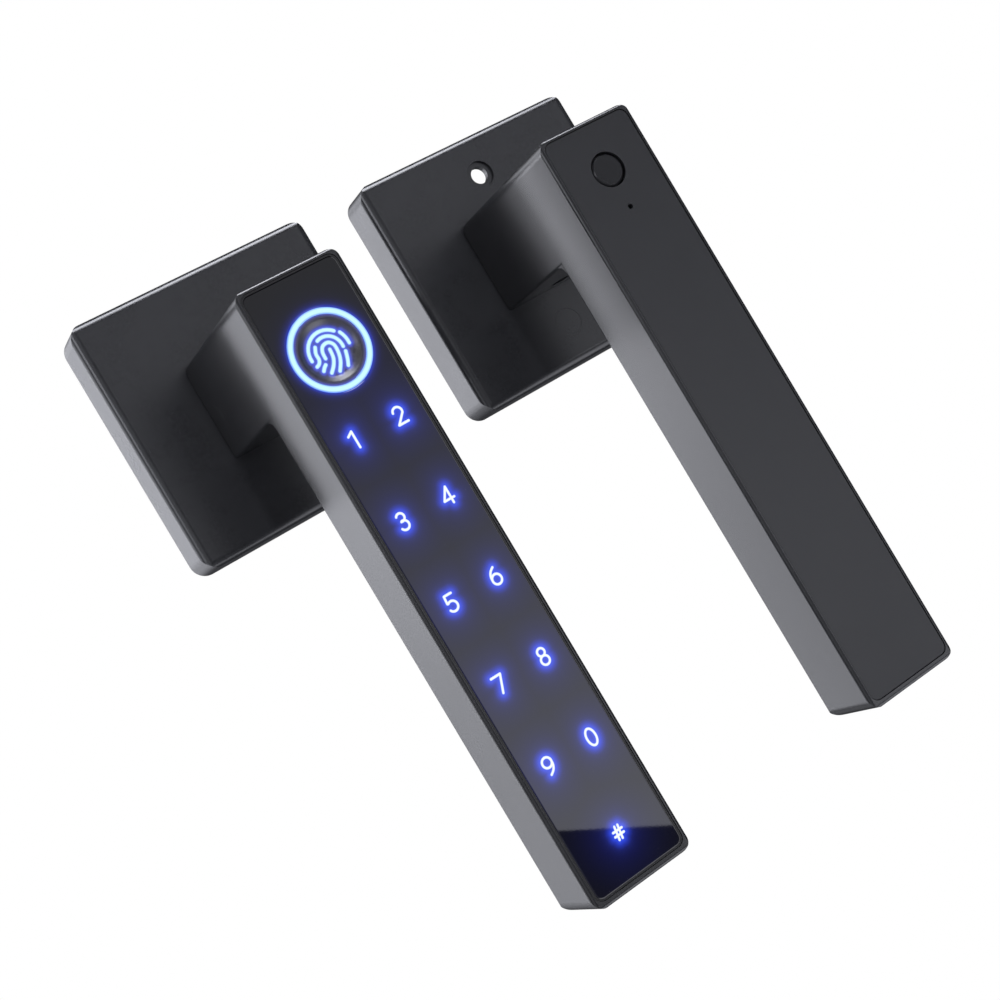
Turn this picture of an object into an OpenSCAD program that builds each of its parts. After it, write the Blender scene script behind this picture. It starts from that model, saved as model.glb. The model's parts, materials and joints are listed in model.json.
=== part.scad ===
// Keypad door lock: the outer half with fingerprint sensor and touch keypad, and the inner half
// with its push button and battery bay, laid out one above the other with their backs in one plane.
// Millimetres. X runs along the levers, -Y points out of the door, +Z is up.
// The origin is the centre of the outer rose's back face, on the axis of its spindle.

/* [Rose] */
// Side of the square rose
rose_side = 65; // [64:0.5:68]
// How far the rose stands off the door
rose_depth = 12.5; // [12.5:0.1:13.5]
// Thickness of the rose's side walls
rose_wall = 2; // [1.8:0.1:2.2]
// Thickness of the rose's front wall
rose_front = 2.5; // [2.3:0.1:2.5]
// Radius of the rose's corners, seen from the front
rose_corner = 4; // [2:0.5:4]
// Radius of the rose's front edges
rose_round = 2; // [1:0.1:2]

/* [Lever] */
// Distance from the spindle axis to the tip of the lever
lever_reach = 137; // [136:0.5:140]
// Width of the lever and of its neck
lever_w = 26.5; // [26.5:0.1:27.5]
// Thickness of the lever
lever_t = 18.5; // [18.5:0.1:19.5]
// Distance from the door to the front of the lever
lever_front = 65.5; // [65.5:0.5:68]
// Length of the neck along the lever
neck_len = 25; // [24.5:0.5:25.5]
// Radius of the lever's corners, seen from the front
lever_corner = 3; // [1.5:0.1:3]
// Radius of the lever's long edges
edge_round = 0.9; // [0.6:0.1:0.9]
// Radius of the tip where it meets the back of the lever
tip_round = 3.5; // [2:0.5:4]
// How far a lever turns
lever_turn = 45; // [40:1:45]

/* [Bearing and spindle] */
// Radius of the journal that turns in the bush
journal_r = 9.5; // [9.5:0.05:9.6]
// Running clearance between journal and bush, on the radius
running_gap = 0.05; // [0.02:0.01:0.08]
// Across the flats of the square spindle
spindle_af = 8; // [7.8:0.1:8]
// How far each half spindle reaches into the door
spindle_out = 18; // [14:1:18]
// Distance of each fixing bolt from the spindle axis
bolt_offset = 22; // [21.8:0.1:22.2]
// Radius of the bolt clearance holes in the inner rose
bolt_hole_r = 2.3; // [2.1:0.1:2.6]

/* [Keypad] */
// Distance from the spindle axis to the first row of digits
first_row = 26.2; // [26:0.1:26.4]
// Distance between rows of digits
row_pitch = 19.85; // [19.8:0.05:19.9]
// Distance between the two columns of digits
col_pitch = 11.7; // [11.5:0.1:11.9]
// Distance from the spindle axis to the fingerprint sensor's centre
finger_x = 7; // [6.8:0.1:7.1]
// Outer radius of the glowing ring round the sensor
finger_ring_r = 9.4; // [9.2:0.1:9.5]

/* [Inner half] */
// Radius of the push button's cap
button_r = 4; // [3.8:0.1:4.1]
// How far the push button travels
button_travel = 1.5; // [1:0.1:1.5]
// Distance from the spindle axis to the reset pinhole
pinhole_x = 9.9; // [9.7:0.1:10.1]
// Distance between the spindle axes of the two halves as they are laid out
halves_apart = 82; // [80:1:120]

/* [Hidden] */
$fn = 64;
eps = 0.01;
row_count = 6;
// depths from the door, front to back through the rose
gasket_t = 1;
gasket_gap = 0.5;
plate_top = 4.5;
web_bottom = 3.2;
flange_t = 0.7;
flange_bottom = 7.6;
flange_top = flange_bottom + flange_t;
cam_bottom = flange_top + 0.2;
cam_top = cam_bottom + 1.2;
collar_bottom = cam_top + 0.1;
neck_bottom = rose_depth + 0.4;
journal_end = 1.2;
cover_inside = rose_depth - rose_front;
cover_half = rose_side / 2 - rose_wall;
plate_half = cover_half - 0.2;
gasket_half = plate_half - 0.4;
// radii round the spindle axis
bush_r = 11;
hub_r = 13;
collar_r = 10.5;
cover_hole_r = 11;
relief_r = 12.4;
cam_r = 15.6;
spring_r = 14.1;
spring_wire_r = 0.6;
spring_slot_w = 1.8;
spring_bend = 1;
spring_coils = 1.9;
spring_z = [5.2, 7.55];
bend_angle = spring_bend / spring_r * 180 / PI;
groove_r = journal_r - 0.9;
washer = [2.7, 3.1];
clip = [1.6, 2.6];
clip_w = 2.6;
clip_gap = 4;
clip_eye_at = 20;
clip_eye_r = 0.7;
stop_r = 18;
stop_post_r = 1.6;
lug_out = 19.5;
lug_w = 5;
key_w = 3;
// the four screws that hold a rose cover
cover_screw_at = 25;
cover_screw_r = 1.5;
cover_boss_r = 3.2;
cover_inside_r = 1;
screw_head_r = 2.9;
screw_head_t = 1.45;
cross_len = 3.4;
cross_w = 0.6;
cross_depth = 0.9;
// threaded posts on the outer half, and the counterbored holes in the inner rose
post_r = 4;
post_head_r = 5.4;
post_thread_r = 1.65;
bolt_sink_r = bolt_hole_r + 1.3;
bolt_sink = 0.8;
// bolt windows in the mounting plates
window_in = 18;
window_out = 28;
window_h = 20;
// lever outline and the pocket in its front
lever_back = lever_front - lever_t;
half_w = lever_w / 2;
neck_x = neck_len / 2;
rim = 1;
tip_rim = 1.5;
pocket_floor = lever_front - 1.9;
pocket = [-neck_x + rim, lever_reach - tip_rim, half_w - rim, 2.2];
cavity_floor = lever_back + 2.5;
cavity = [-neck_x + 3, lever_reach - 3.4, half_w - 2.6, 2];
battery_bay_half_w = half_w - 2.2;
spindle_bore_r = 5.8;
// the small screws that hold the boards, and their bosses
thread_r = 0.8;
boss_r = 2.1;
boss_bore = 6;
// wires
wire_channel_r = 1;
wire_channel_y = 7.6;
// clutch
clutch_bore_r = 6.5;
clutch_hub_r = 6.3;
clutch_bottom = 27;
clutch_hub_bottom = 27.3;
clutch_hub_top = 34;
guide_bottom = 35;
guide_top = 40.9;
guide_cup_top = 46;
pin_x = 4.2;
pin_r = 1.2;
pin_bottom = 30.6;
pin_len = 6.5;
motor_r = 3;
motor_top = 55;
cross_pin_z = 29;
cross_pin_r = 1.2;
outer_spindle_top = 30.4;
// keypad stack
board_bottom = 60.3;
board_top = 61.5;
led_t = 0.6;
glass_bottom = lever_front - 1.5;
glass_top = lever_front - 0.2;
bezel_w = 0.4;
finger_inner_r = finger_ring_r - 1.4;
sensor_gap = 0.1;
dish_r = 7.25;
dish_floor_r = 5.3;
dish_depth = 1;
pad = [7, 8];
mask = [19.8, 129.4];
board_screw_xs = [17.4, 131.3];
board_screw_y = 8.4;
chip_xs = [58, 92];
chip_w = 7;
plug_x = 32;
plug = [5, 10, 3.2];
// inner lever
inner_spindle_top = 30;
grub_z = 20;
grub_r = 2.5;
switch_board_bottom = 55;
switch_board_top = 56.2;
switch_board_screw_x = [-6.2, 21.5];
push_body = [6, 6, 2.2];
reset_body = [4, 3.5, 2.6];
cap_top = lever_front - 0.35;
cap_chamfer = 0.45;
cap_flange_r = 5;
cap_flange = [61.7, 62.7];
guide_ring_r = 5.4;
rib = [27, 31.6];
rib_top = 62;
magnet_r = 2;
magnet_y = 7.5;
magnet_t = 1.4;
tray = [32, 133.2];
battery_r = 5.1;
battery_len = 43.6;
cell_y = battery_r + 0.1;
nub = [1.9, 0.9];
contact_t = 0.4;
contact_w = 7;
bay_len = 49.2;
tray_wall = 0.9;
tray_side = 0.55;
tray_floor = 0.8;
tray_h = 7.5;
battery_z = cavity_floor + tray_floor + battery_r;
lid_bottom = lever_front - 1.8;
lid_top = lever_front - 0.2;
lid_gap = 0.2;

// ---------- frames ----------
// A half is drawn lying on the door: x along the lever, y across it, z out of the door.
module outer_half() { rotate([90, 0, 0]) children(); }
module inner_half() { translate([0, 0, halves_apart]) rotate([90, 0, 0]) children(); }

// ---------- shapes ----------
// what is cut off a square corner at p to leave a quarter round of radius r; s points inwards
module corner_cut(p, s, r) {
    translate(p) mirror([s[0] < 0 ? 1 : 0, 0]) mirror([0, s[1] < 0 ? 1 : 0])
        difference() {
            translate([-1, -1]) square(r + 1);
            translate([r, r]) circle(r);
        }
}

// rectangle with its own radius at each corner: low-low, high-low, high-high, low-high
module round_rect(x0, x1, y0, y1, r) {
    difference() {
        translate([x0, y0]) square([x1 - x0, y1 - y0]);
        if (r[0] > 0) corner_cut([x0, y0], [1, 1], r[0]);
        if (r[1] > 0) corner_cut([x1, y0], [-1, 1], r[1]);
        if (r[2] > 0) corner_cut([x1, y1], [-1, -1], r[2]);
        if (r[3] > 0) corner_cut([x0, y1], [1, -1], r[3]);
    }
}

// block with rounded edges: its outline seen from the front, from the side and from the end
module round_block(x0, x1, half_y, z0, z1, front_r, side_r, end_r) {
    intersection() {
        translate([0, 0, z0]) linear_extrude(z1 - z0) round_rect(x0, x1, -half_y, half_y, front_r);
        translate([0, half_y, 0]) rotate([90, 0, 0]) linear_extrude(2 * half_y)
            round_rect(x0, x1, z0, z1, side_r);
        translate([x0, 0, 0]) rotate([90, 0, 90]) linear_extrude(x1 - x0)
            round_rect(-half_y, half_y, z0, z1, end_r);
    }
}

module slab(x0, x1, half_y, z0, z1, r) {
    translate([0, 0, z0]) linear_extrude(z1 - z0)
        round_rect(x0, x1, -half_y, half_y, [r, r, r, r]);
}

module ring(r_out, r_in, z0, z1) {
    translate([0, 0, z0]) difference() {
        cylinder(r = r_out, h = z1 - z0);
        translate([0, 0, -1]) cylinder(r = r_in, h = z1 - z0 + 2);
    }
}

module disc(r, z0, z1) { translate([0, 0, z0]) cylinder(r = r, h = z1 - z0); }

module at_four(a, b) {
    for (x = a, y = [-b, b]) translate([x, y, 0]) children();
}

// ---------- swept wire ----------
// A wire round the z axis: points are [radius, angle, height]
function on_axis(p) = [p[0] * cos(p[1]), p[0] * sin(p[1]), p[2]];
function unit(v) = v / norm(v);
module wire(points, r, sides = 8) {
    path = [for (p = points) on_axis(p)];
    last = len(path) - 1;
    radial = [for (p = points) [cos(p[1]), sin(p[1]), 0]];
    along = [for (i = [0:last]) unit(path[min(i + 1, last)] - path[max(i - 1, 0)])];
    rings = [for (i = [0:last], k = [0:sides - 1])
        let (side = unit(radial[i] - (radial[i] * along[i]) * along[i]), up = cross(along[i], side))
        path[i] + r * (cos(360 * k / sides) * side + sin(360 * k / sides) * up)];
    walls = [for (i = [0:last - 1], k = [0:sides - 1])
        let (a = i * sides + k, b = i * sides + (k + 1) % sides) [a, a + sides, b + sides, b]];
    polyhedron(rings, concat([[for (k = [0:sides - 1]) k]], walls,
        [[for (k = [sides - 1:-1:0]) last * sides + k]]));
}

// ---------- rose, shared by both halves ----------
module rose_shell() {
    c = rose_corner;
    r = rose_round;
    h = rose_side / 2;
    difference() {
        round_block(-h, h, h, 0, rose_depth, [c, c, c, c], [0, 0, r, r], [0, 0, r, r]);
        slab(-cover_half, cover_half, cover_half, -1, cover_inside, cover_inside_r);
        disc(cover_hole_r, cover_inside - 1, rose_depth + 1);
    }
    at_four([-cover_screw_at, cover_screw_at], cover_screw_at) difference() {
        disc(cover_boss_r, plate_top, cover_inside + eps);
        disc(cover_screw_r, plate_top - 1, cover_inside - 0.5);
    }
}

module both_bolts() { for (x = [-bolt_offset, bolt_offset]) translate([x, 0, 0]) children(); }

// openings beside the spindle that let the bolts find the holes in the door
module bolt_windows() {
    for (m = [0, 1]) mirror([m, 0, 0])
        translate([window_in, -window_h / 2, -1]) cube([window_out - window_in, window_h, plate_top + 2]);
}

module door_gasket() {
    difference() {
        slab(-gasket_half, gasket_half, gasket_half, 0, gasket_t, 1);
        disc(relief_r + gasket_gap, -1, gasket_t + 1);
        at_four([-cover_screw_at, cover_screw_at], cover_screw_at)
            disc(screw_head_r + gasket_gap, -1, gasket_t + 1);
        children();
    }
}

// the stop posts stand either side of the lug's travel, and the spring's foot has an arc slot
module mounting_plate(turn) {
    travel = lever_turn / 2 + asin(lug_w / 2 / stop_r) + asin(stop_post_r / stop_r) + 1;
    difference() {
        union() {
            slab(-plate_half, plate_half, plate_half, gasket_t, plate_top, cover_inside_r);
            disc(hub_r, plate_top - eps, flange_bottom);
            for (a = [90 - travel, 90 + travel]) rotate(a) translate([stop_r, 0, 0])
                disc(stop_post_r, plate_top - eps, cam_top - 0.1);
        }
        disc(relief_r, gasket_t - 1, web_bottom);
        disc(bush_r, web_bottom - 1, flange_bottom + 1);
        at_four([-cover_screw_at, cover_screw_at], cover_screw_at) {
            disc(cover_screw_r + 0.1, gasket_t - 1, plate_top + 1);
            translate([0, 0, gasket_t - eps])
                cylinder(r1 = screw_head_r + 0.2, r2 = cover_screw_r, h = screw_head_t + 0.15);
        }
        rotate(spring_foot(turn) - (turn < 0 ? lever_turn : 0) - 5)
            translate([0, 0, gasket_t - 1]) rotate_extrude(angle = lever_turn + 10)
                translate([spring_r - spring_slot_w / 2, 0]) square([spring_slot_w, plate_top + 1]);
        children();
    }
}

module bearing_bush() {
    bore = journal_r + running_gap;
    ring(bush_r, bore, web_bottom, flange_bottom + eps);
    ring(hub_r, bore, flange_bottom, flange_top);
}

module cover_screws() {
    at_four([-cover_screw_at, cover_screw_at], cover_screw_at) difference() {
        union() {
            translate([0, 0, gasket_t])
                cylinder(r1 = screw_head_r, r2 = cover_screw_r - 0.05, h = screw_head_t);
            disc(cover_screw_r - 0.05, gasket_t + 1, cover_inside - 0.7);
        }
        for (a = [0, 90]) rotate(a) translate([-cross_len / 2, -cross_w / 2, gasket_t - 1])
            cube([cross_len, cross_w, cross_depth + 1]);
    }
}

module thrust_washer() { ring(relief_r - 0.4, journal_r + 0.1, washer[0], washer[1]); }

module circlip() {
    difference() {
        ring(groove_r + clip_w, groove_r + 0.02, clip[0], clip[1]);
        translate([0, -clip_gap / 2, 0]) cube([bush_r + clip_w, clip_gap, clip[1] + 1]);
        for (a = [-clip_eye_at, clip_eye_at]) rotate(a) translate([groove_r + clip_w / 2, 0, 0])
            disc(clip_eye_r, clip[0] - 1, clip[1] + 1);
    }
}

// ---------- return spring and cam ----------
function spring_foot(turn) = turn > 0 ? 200 : 340;
function spring_head(turn) = spring_foot(turn) + turn * (360 * spring_coils + 2 * bend_angle);

module return_spring(turn) {
    foot = spring_foot(turn);
    steps = 44;
    leg = [[spring_r, foot, 2.2], [spring_r, foot, 3.2]];
    low_bend = [for (t = [0:22.5:67.5])
        [spring_r, foot + turn * bend_angle * (1 - cos(t)), spring_z[0] - spring_bend * (1 - sin(t))]];
    coil = [for (i = [0:steps])
        [spring_r, foot + turn * (bend_angle + 360 * spring_coils * i / steps),
            spring_z[0] + (spring_z[1] - spring_z[0]) * i / steps]];
    high_bend = [for (t = [22.5:22.5:90])
        [spring_r, spring_head(turn) - turn * bend_angle * (1 - sin(t)),
            spring_z[1] + spring_bend * (1 - cos(t))]];
    head = [[spring_r, spring_head(turn), cam_top - 0.1]];
    wire(concat(leg, low_bend, coil, high_bend, head), spring_wire_r);
}

module cam_disc(turn) {
    difference() {
        union() {
            disc(cam_r, cam_bottom, cam_top);
            rotate(90 - turn * lever_turn / 2) translate([journal_r + 2, -lug_w / 2, cam_bottom])
                cube([lug_out - journal_r - 2, lug_w, cam_top - cam_bottom]);
        }
        disc(journal_r + 0.05, cam_bottom - 1, cam_top + 1);
        rotate(spring_head(turn)) translate([spring_r, 0, 0])
            disc(spring_wire_r + 0.1, cam_bottom - 1, cam_top + 1);
    }
    translate([journal_r - 0.6, -key_w / 2 + 0.1, cam_bottom])
        cube([1, key_w - 0.2, cam_top - cam_bottom]);
}

// ---------- lever casting, shared by both halves ----------
module lever_casting(cavity_half_w) {
    v = lever_corner;
    e = edge_round;
    c = cavity;
    p = pocket;
    difference() {
        union() {
            round_block(-neck_x, lever_reach, half_w, lever_back, lever_front,
                [v, v, v, v], [0, tip_round, e, e], [e, e, e, e]);
            translate([0, 0, neck_bottom]) linear_extrude(lever_front - 3 - neck_bottom)
                round_rect(-neck_x, neck_x, -half_w, half_w, [v, e, e, v]);
            inner_fillet(2);
            disc(collar_r, collar_bottom, neck_bottom + eps);
            disc(journal_r, journal_end, collar_bottom + eps);
        }
        slab(c[0], c[1], cavity_half_w, cavity_floor, lever_front + 1, c[3]);
        slab(p[0], p[1], p[2], pocket_floor, lever_front + 1, p[3]);
        ring(journal_r + 1, groove_r, clip[0] - 0.05, clip[1] + 0.05);
        translate([journal_r - 0.8, -key_w / 2, 0]) cube([2, key_w, cam_top + 0.05]);
        translate([0, wire_channel_y, 0]) disc(wire_channel_r, 0, cavity_floor + 1);
    }
}

// rounds the inside corner between neck and lever
module inner_fillet(r) {
    half = half_w - edge_round / 4;
    translate([neck_x, half, lever_back]) rotate([90, 0, 0])
        linear_extrude(2 * half) difference() {
            translate([-1, -r]) square([r + 1, r + 1]);
            translate([r, -r]) circle(r);
        }
}

module screw_boss(top) {
    difference() {
        disc(boss_r, cavity_floor - eps, top);
        disc(thread_r + 0.05, top - boss_bore, top + 1);
    }
}

module small_screw(seat) {
    difference() {
        union() {
            disc(2 * thread_r, seat, seat + 1.1);
            disc(thread_r, seat - 4.5, seat + 0.1);
        }
        for (a = [0, 90]) rotate(a) translate([-1.5 * thread_r, -0.2, seat + 0.5])
            cube([3 * thread_r, 0.4, 1]);
    }
}

module wire_grommet() {
    translate([0, wire_channel_y, 0]) ring(wire_channel_r - 0.02, 0.6, journal_end, journal_end + 3);
}

module square_bar(z0, z1) {
    a = spindle_af / 2;
    translate([-a, -a, z0]) cube([2 * a, 2 * a, z1 - z0]);
}

// ---------- outer half ----------
module outer_rose_cover() color("#33343a") outer_half() rose_shell();

module outer_gasket() color("#1b1b1d") outer_half()
    door_gasket() both_bolts() disc(post_r + gasket_gap, -1, gasket_t + 1);

module outer_mounting_plate() color("#9a9ca0") outer_half()
    mounting_plate(-1) both_bolts() disc(post_r, gasket_t - 1, plate_top + 1);

module outer_bearing_bush() color("#b08d57") outer_half() bearing_bush();

module outer_bolt_posts() color("#b9bbbf") outer_half() both_bolts() difference() {
    union() {
        disc(post_r - 0.05, -spindle_out, plate_top);
        disc(post_head_r, plate_top, plate_top + 1.5);
    }
    disc(post_thread_r, -spindle_out - 1, plate_top - 2);
}

module outer_cover_screws() color("#8d8f94") outer_half() cover_screws();

module outer_lever_housing() color("#3b3c42") outer_half() {
    difference() {
        lever_casting(cavity[2]);
        disc(spindle_bore_r, journal_end - 1, clutch_bottom + 1);
        disc(clutch_bore_r, clutch_bottom, cavity_floor + 1);
    }
    at_four(board_screw_xs, board_screw_y) screw_boss(board_bottom);
}

module outer_thrust_washer() color("#c9cbcf") outer_half() thrust_washer();

module outer_circlip() color("#55565a") outer_half() circlip();

module outer_cam_disc() color("#8a8c90") outer_half() cam_disc(-1);

module outer_return_spring() color("#a3a5a9") outer_half() return_spring(-1);

module outer_spindle() color("#c4c6ca") outer_half() difference() {
    square_bar(-spindle_out, outer_spindle_top);
    translate([0, 0, cross_pin_z]) rotate([90, 0, 0])
        cylinder(r = cross_pin_r, h = 20, center = true);
}

module spindle_pin() color("#77797d") outer_half()
    translate([0, 0, cross_pin_z]) rotate([90, 0, 0])
        cylinder(r = cross_pin_r - 0.02, h = 2 * clutch_hub_r - 0.6, center = true);

// the driven half of the clutch: it carries the spindle and has the hole the pin drops into
module clutch_hub() color("#a8aaae") outer_half() difference() {
    disc(clutch_hub_r, clutch_hub_bottom, clutch_hub_top);
    square_bar(clutch_hub_bottom - 1, outer_spindle_top);
    translate([pin_x, 0, 0]) disc(pin_r + 0.1, pin_bottom - 0.2, clutch_hub_top + 1);
    translate([0, 0, cross_pin_z]) rotate([90, 0, 0])
        cylinder(r = cross_pin_r, h = 20, center = true);
}

module clutch_guide() color("#d8d9db") outer_half() {
    difference() {
        disc(clutch_bore_r - 0.05, guide_bottom, guide_top);
        translate([pin_x, 0, 0]) disc(pin_r + running_gap, guide_bottom - 1, guide_top + 1);
        disc(0.9, guide_bottom + 1, guide_top + 1);
    }
    ring(motor_r + 1.3, motor_r, guide_top - eps, guide_cup_top);
}

module clutch_motor() color("#bcbec2") outer_half() {
    disc(motor_r - 0.02, guide_top + 0.1, motor_top);
    disc(0.75, guide_bottom + 1.5, guide_top + 0.2);
    disc(1.2, motor_top - eps, motor_top + 0.6);
}

module clutch_pin() color("#e0e1e3") outer_half()
    translate([pin_x, 0, 0]) disc(pin_r, pin_bottom, pin_bottom + pin_len);

module outer_wire_grommet() color("#202022") outer_half() wire_grommet();

module panel_bezel() color("#101114") outer_half() {
    p = pocket;
    g = 0.1;
    w = bezel_w;
    difference() {
        slab(p[0] + g, p[1] - g, p[2] - g, pocket_floor, glass_top, p[3] - g);
        slab(p[0] + g + w, p[1] - g - w, p[2] - g - w, glass_bottom, glass_top + 1, p[3] - g - w);
        slab(cavity[0], cavity[1], cavity[2] + 0.05, pocket_floor - 1, glass_top, 1);
    }
}

module keypad_panel() color("#08090b") outer_half() {
    p = pocket;
    g = bezel_w + 0.15;
    difference() {
        slab(p[0] + g, p[1] - g, p[2] - g, glass_bottom, glass_top, p[3] - g);
        translate([finger_x, 0, 0]) disc(finger_ring_r + 0.05, glass_bottom - 1, glass_top + 1);
    }
}

module fingerprint_ring() color("#8fd8ff") outer_half()
    translate([finger_x, 0, 0]) ring(finger_ring_r, finger_inner_r, board_top + led_t + 0.1, glass_top);

module fingerprint_sensor() color("#15161a") outer_half() translate([finger_x, 0, 0]) difference() {
    disc(finger_inner_r - sensor_gap, board_top, glass_top);
    translate([0, 0, glass_top - dish_depth])
        cylinder(r1 = dish_floor_r, r2 = dish_r, h = dish_depth + eps);
}

// where the eleven lit keys are: two to a row, and one alone in the last row
module at_keys() {
    for (i = [0:row_count - 2], y = [-col_pitch / 2, col_pitch / 2])
        translate([first_row + i * row_pitch, y, 0]) children();
    translate([first_row + (row_count - 1) * row_pitch, 0, 0]) children();
}

module light_mask() color("#1e1f22") outer_half() difference() {
    slab(mask[0], mask[1], cavity[2] - 0.15, board_top + 0.05, glass_bottom - 0.05, 0.6);
    at_keys() translate([-pad[0] / 2, -pad[1] / 2, board_top]) cube([pad[0], pad[1], 4]);
}

module key_light_guides() color("#dfe8f2") outer_half()
    at_keys() translate([-pad[0] / 2 + 0.1, -pad[1] / 2 + 0.1, board_top + led_t + 0.1])
        cube([pad[0] - 0.2, pad[1] - 0.2, glass_bottom - board_top - led_t - 0.2]);

module keypad_board() color("#1f5b38") outer_half() difference() {
    slab(cavity[0] + 0.6, cavity[1] - 0.5, cavity[2] - 0.3, board_bottom, board_top, 1.5);
    at_four(board_screw_xs, board_screw_y) disc(1, board_bottom - 1, board_top + 1);
}

module board_chips() color("#2a2a2d") outer_half() {
    at_keys() translate([-0.8, -0.5, board_top]) cube([1.6, 1, led_t]);
    for (a = [0:60:300]) translate([finger_x, 0, 0]) rotate(a)
        translate([finger_ring_r - 1.2, -0.6, board_top]) cube([0.9, 1.2, led_t]);
    for (x = chip_xs) translate([x, -chip_w / 2, board_bottom - 1]) cube([chip_w, chip_w, 1]);
    translate([plug_x, -plug[1] / 2, board_bottom - plug[2]]) cube(plug);
}

module board_screws() color("#c9cacd") outer_half()
    at_four(board_screw_xs, board_screw_y) small_screw(board_top);

// ---------- inner half ----------
module inner_rose_cover() color("#33343a") inner_half() difference() {
    rose_shell();
    both_bolts() {
        disc(bolt_hole_r, cover_inside - 1, rose_depth + 1);
        disc(bolt_sink_r, rose_depth - bolt_sink, rose_depth + 1);
    }
}

// a cap closes the hole nearer the lever's tip once its bolt is in
module bolt_hole_cap() color("#2c2d32") inner_half() translate([bolt_offset, 0, 0]) {
    disc(bolt_sink_r - 0.04, rose_depth - bolt_sink, rose_depth - 0.05);
    ring(bolt_hole_r - 0.04, bolt_hole_r - 0.9, cover_inside, rose_depth - bolt_sink + eps);
}

module inner_gasket() color("#1b1b1d") inner_half() door_gasket() bolt_windows();

module inner_mounting_plate() color("#9a9ca0") inner_half() mounting_plate(1) bolt_windows();

module inner_bearing_bush() color("#b08d57") inner_half() bearing_bush();

module inner_cover_screws() color("#8d8f94") inner_half() cover_screws();

module inner_lever_housing() color("#3b3c42") inner_half() {
    difference() {
        union() {
            lever_casting(battery_bay_half_w);
            translate([rib[0], -battery_bay_half_w - eps, cavity_floor - eps])
                cube([rib[1] - rib[0], 2 * battery_bay_half_w + 2 * eps, rib_top - cavity_floor]);
        }
        translate([-spindle_af / 2 - 0.05, -spindle_af / 2 - 0.05, journal_end - 1])
            cube([spindle_af + 0.1, spindle_af + 0.1, inner_spindle_top - journal_end + 1.1]);
        translate([3, 0, grub_z]) rotate([0, 90, 0]) cylinder(r = grub_r, h = neck_x);
        at_magnets() disc(magnet_r + 0.02, rib_top - magnet_t, rib_top + 1);
    }
    at_four(switch_board_screw_x, board_screw_y) screw_boss(switch_board_bottom);
}

module at_magnets() {
    for (y = [-magnet_y, magnet_y]) translate([(rib[0] + rib[1]) / 2, y, 0]) children();
}

module inner_thrust_washer() color("#c9cbcf") inner_half() thrust_washer();

module inner_circlip() color("#55565a") inner_half() circlip();

module inner_cam_disc() color("#8a8c90") inner_half() cam_disc(1);

module inner_return_spring() color("#a3a5a9") inner_half() return_spring(1);

module inner_spindle() color("#c4c6ca") inner_half() square_bar(-spindle_out, inner_spindle_top);

module inner_grub_screw() color("#55575b") inner_half()
    translate([spindle_af / 2 + 0.05, 0, grub_z]) rotate([0, 90, 0]) difference() {
        cylinder(r = grub_r - 0.02, h = 7.5);
        translate([0, 0, 5]) cylinder(r = 1.44, h = 3, $fn = 6);
    }

module inner_wire_grommet() color("#202022") inner_half() wire_grommet();

module switch_board() color("#1f5b38") inner_half() difference() {
    slab(cavity[0] + 0.6, 24.5, cavity[2] - 0.3, switch_board_bottom, switch_board_top, 1.5);
    at_four(switch_board_screw_x, board_screw_y) disc(1, switch_board_bottom - 1, switch_board_top + 1);
}

module push_switch() color("#6f7074") inner_half() {
    s = push_body;
    translate([-s[0] / 2, -s[1] / 2, switch_board_top]) cube(s);
    disc(1.7, switch_board_top + s[2] - 0.1, switch_board_top + s[2] + 0.8);
}

module reset_switch() color("#6f7074") inner_half() translate([pinhole_x, 0, 0]) {
    s = reset_body;
    translate([-s[0] / 2, -s[1] / 2, switch_board_top]) cube(s);
    disc(0.9, switch_board_top + s[2] - 0.1, switch_board_top + s[2] + 0.8);
}

module switch_board_screws() color("#c9cacd") inner_half()
    at_four(switch_board_screw_x, board_screw_y) small_screw(switch_board_top);

module button_guide() color("#232427") inner_half()
    ring(guide_ring_r + 1.1, guide_ring_r, switch_board_top, lid_bottom - 0.4);

module push_button() color("#2b2c31") inner_half() {
    v = cap_chamfer;
    disc(button_r, cap_flange[0], cap_top - v);
    translate([0, 0, cap_top - v - eps]) cylinder(r1 = button_r, r2 = button_r - v, h = v + eps);
    disc(cap_flange_r, cap_flange[0], cap_flange[1]);
    disc(1.6, cap_flange[0] - 0.8, cap_flange[0] + eps);
}

// drawn at its pressed length
module button_spring() color("#a3a5a9") inner_half() {
    turns = 4;
    r = 4.8;
    steps = turns * 16;
    wire([for (i = [0:steps]) [r, 360 * turns * i / steps,
        switch_board_top + 0.3 + 3.2 * i / steps]], 0.2, 6);
}

module battery_tray() color("#26272b") inner_half() {
    outer = battery_bay_half_w - 0.05;
    difference() {
        slab(tray[0], tray[1], outer, cavity_floor, cavity_floor + tray_h, 1.5);
        for (k = [0, 1]) translate([bay_start(k), -outer + tray_side, cavity_floor + tray_floor])
            cube([bay_len, 2 * (outer - tray_side), tray_h]);
    }
}

function bay_start(k) = tray[0] + tray_wall + k * (bay_len + tray_wall);

// the four bays; every other cell lies the other way round
module in_bays() {
    for (k = [0, 1], s = [-1, 1]) translate([bay_start(k) + bay_len / 2, s * cell_y, battery_z])
        rotate([0, (k == 0 ? 90 : -90) * s, 0]) translate([0, 0, bay_len / 2]) children();
}

module batteries() color("#3f7d4e") in_bays_of_inner() {
    translate([0, 0, -contact_t - nub[1] - battery_len]) cylinder(r = battery_r, h = battery_len);
    translate([0, 0, -contact_t - nub[1] - eps]) cylinder(r = nub[0], h = nub[1] + eps);
}

module in_bays_of_inner() { inner_half() in_bays() children(); }

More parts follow.
